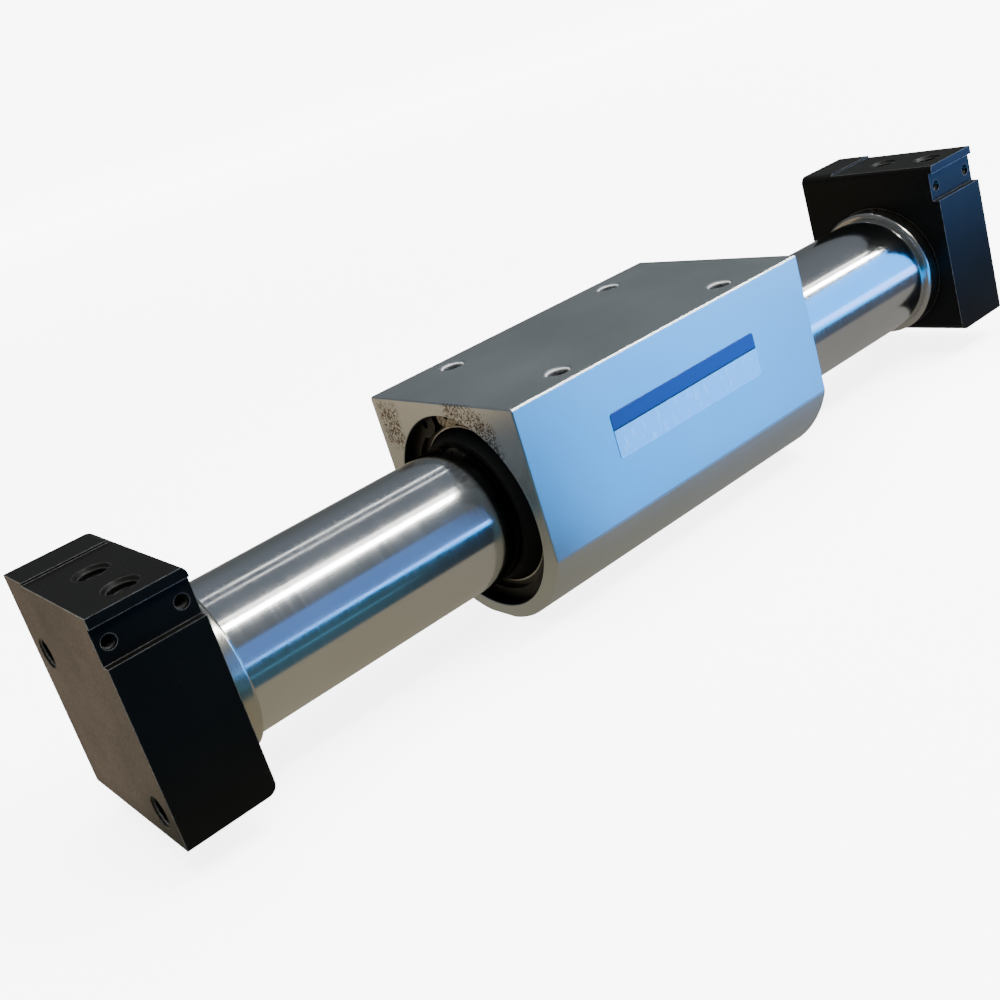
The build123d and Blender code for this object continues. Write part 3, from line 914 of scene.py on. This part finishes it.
# The floor is pale to the eye only, and glows into the pale background with distance; reflections see only
# its glow of painted reflections
def makeFloor():
    letGo()
    look = floorLook
    bpy.ops.mesh.primitive_plane_add(size=look["side"], location=(0, 0, 0))
    floor = bpy.context.active_object
    floor.name = "paleFloor"
    finish = newFinish("paleFloor")
    tree, shader = inside(finish)
    shader.inputs["Roughness"].default_value = look["roughness"]
    shader.inputs["Specular IOR Level"].default_value = 0.0
    seen = addNode(tree, "ShaderNodeLightPath").outputs["Is Camera Ray"]
    feed(tree, shader.inputs["Base Color"], blend(tree, seen, (0.0, 0.0, 0.0), look["colour"]))
    away = vectorNode(tree, "LENGTH", objectPlace(tree)).outputs["Value"]
    glow = span(tree, away, *look["glowReach"], *look["glow"])
    # Reflections see the floor's glow of painted reflections and painted shade, and the camera sees a pale
    # glow
    feed(tree, shader.inputs["Emission Color"], blend(tree, seen, makePaintedReflections(tree), glow))
    shader.inputs["Emission Strength"].default_value = 1.0
    floor.data.materials.append(finish)


makeFloor()

roomLook = dict(shown=(8.4, 8.4, 8.4), low=(0.12, 0.135, 0.14), high=(0.18, 0.21, 0.25),
                lowToHigh=(0.3, 0.75))


# White behind the part, and a dim grey sky for what lights it and shows in it
def makeRoom():
    look = roomLook
    room = bpy.data.worlds.new("studio")
    bpy.context.scene.world = room
    room.use_nodes = True
    tree = room.node_tree
    parts = addNode(tree, "ShaderNodeSeparateXYZ")
    feed(tree, parts.inputs[0], addNode(tree, "ShaderNodeTexCoord").outputs["Generated"])
    sky = blend(tree, rise(tree, parts.outputs["Z"], *look["lowToHigh"]), look["low"], look["high"])
    seen = addNode(tree, "ShaderNodeLightPath").outputs["Is Camera Ray"]
    feed(tree, tree.nodes["Background"].inputs["Color"], blend(tree, seen, sky, look["shown"]))


makeRoom()

lamps = {
    "overheadFill": dict(
        place=(0.1, -0.2, 1.5), aim=(0.0, 0.0, axisHeight), size=(2.0, 2.0),
        colour=(1.0, 0.99, 0.98), radiance=8.5, glossy=False),
    "broadStrip": dict(
        place=(0.55, -0.32, 0.53), aim=(0.55, 0.0, axisHeight), size=(1.1, 0.055),
        colour=(0.97, 1.0, 0.97), radiance=46.0),
    "narrowStrip": dict(
        place=(0.55, -0.234, 0.574), aim=(0.55, 0.0, axisHeight), size=(1.1, 0.02),
        colour=(1.0, 0.98, 0.93), radiance=8.0),
    "blueWindow": dict(
        place=(0.975, -0.665, 0.27), aim=(0.125, 0.085, axisHeight), size=(0.7, 0.75),
        colour=(0.0, 0.31, 1.0), radiance=3.9, diffuse=False),
    "blueSide": dict(
        place=(0.2625, -1.0, 0.25), aim=(-0.0875, 0.0, axisHeight), size=(0.475, 0.45),
        colour=(0.03, 0.27, 1.0), radiance=0.66, diffuse=False),
    "thinStripOne": dict(
        place=(0.30, 0.325, 0.75), aim=(0.30, 0.0, axisHeight), size=(0.3, 0.012),
        colour=(0.97, 1.0, 0.97), radiance=9.0),
    "thinStripTwo": dict(
        place=(0.30, 0.166, 0.80), aim=(0.30, 0.0, axisHeight), size=(0.3, 0.012),
        colour=(1.0, 1.0, 1.0), radiance=6.0),
}


# A flat lamp whose power follows from its size, so that the brightness it shows is set directly
def addPanel(name, look):
    lamp = bpy.data.lights.new(name, "AREA")
    lamp.shape = "RECTANGLE"
    lamp.size, lamp.size_y = look["size"]
    lamp.color = look["colour"]
    lamp.energy = look["radiance"] * math.pi * look["size"][0] * look["size"][1]
    panel = bpy.data.objects.new(name, lamp)
    bpy.context.scene.collection.objects.link(panel)
    panel.location = look["place"]
    panel.rotation_euler = (Vector(look["aim"]) - Vector(look["place"])).to_track_quat("-Z", "Y").to_euler()
    panel.visible_camera = False
    panel.visible_glossy = look.get("glossy", True)
    panel.visible_diffuse = look.get("diffuse", True)


for name, look in lamps.items():
    addPanel(name, look)

view = dict(
    place=(-0.15574, -0.19177, 0.10770), turn=(71.33, 16.71, -38.959),
    sensor=36.0, lens=45.927, shift=(0.0177, -0.0592), clip=(0.01, 30.0),
)


def makeCamera():
    data = bpy.data.cameras.new("photoCamera")
    camera = bpy.data.objects.new("photoCamera", data)
    bpy.context.scene.collection.objects.link(camera)
    camera.location = view["place"]
    camera.rotation_euler = [math.radians(angle) for angle in view["turn"]]
    data.sensor_width = view["sensor"]
    data.lens = view["lens"]
    data.shift_x, data.shift_y = view["shift"]
    data.clip_start, data.clip_end = view["clip"]
    bpy.context.scene.camera = camera


makeCamera()
print("floor, light and camera ready")


# Spreads a tree's nodes in columns, to be read in the editor
def spreadOut(tree, rows=5, across=240, down=320):
    for count, node in enumerate(tree.nodes):
        column, row = divmod(count, rows)
        node.location = (-column * across, -row * down)


owners = [*bpy.data.materials, *bpy.data.worlds]
for tree in [*bpy.data.node_groups, *(owner.node_tree for owner in owners if owner.use_nodes)]:
    spreadOut(tree)
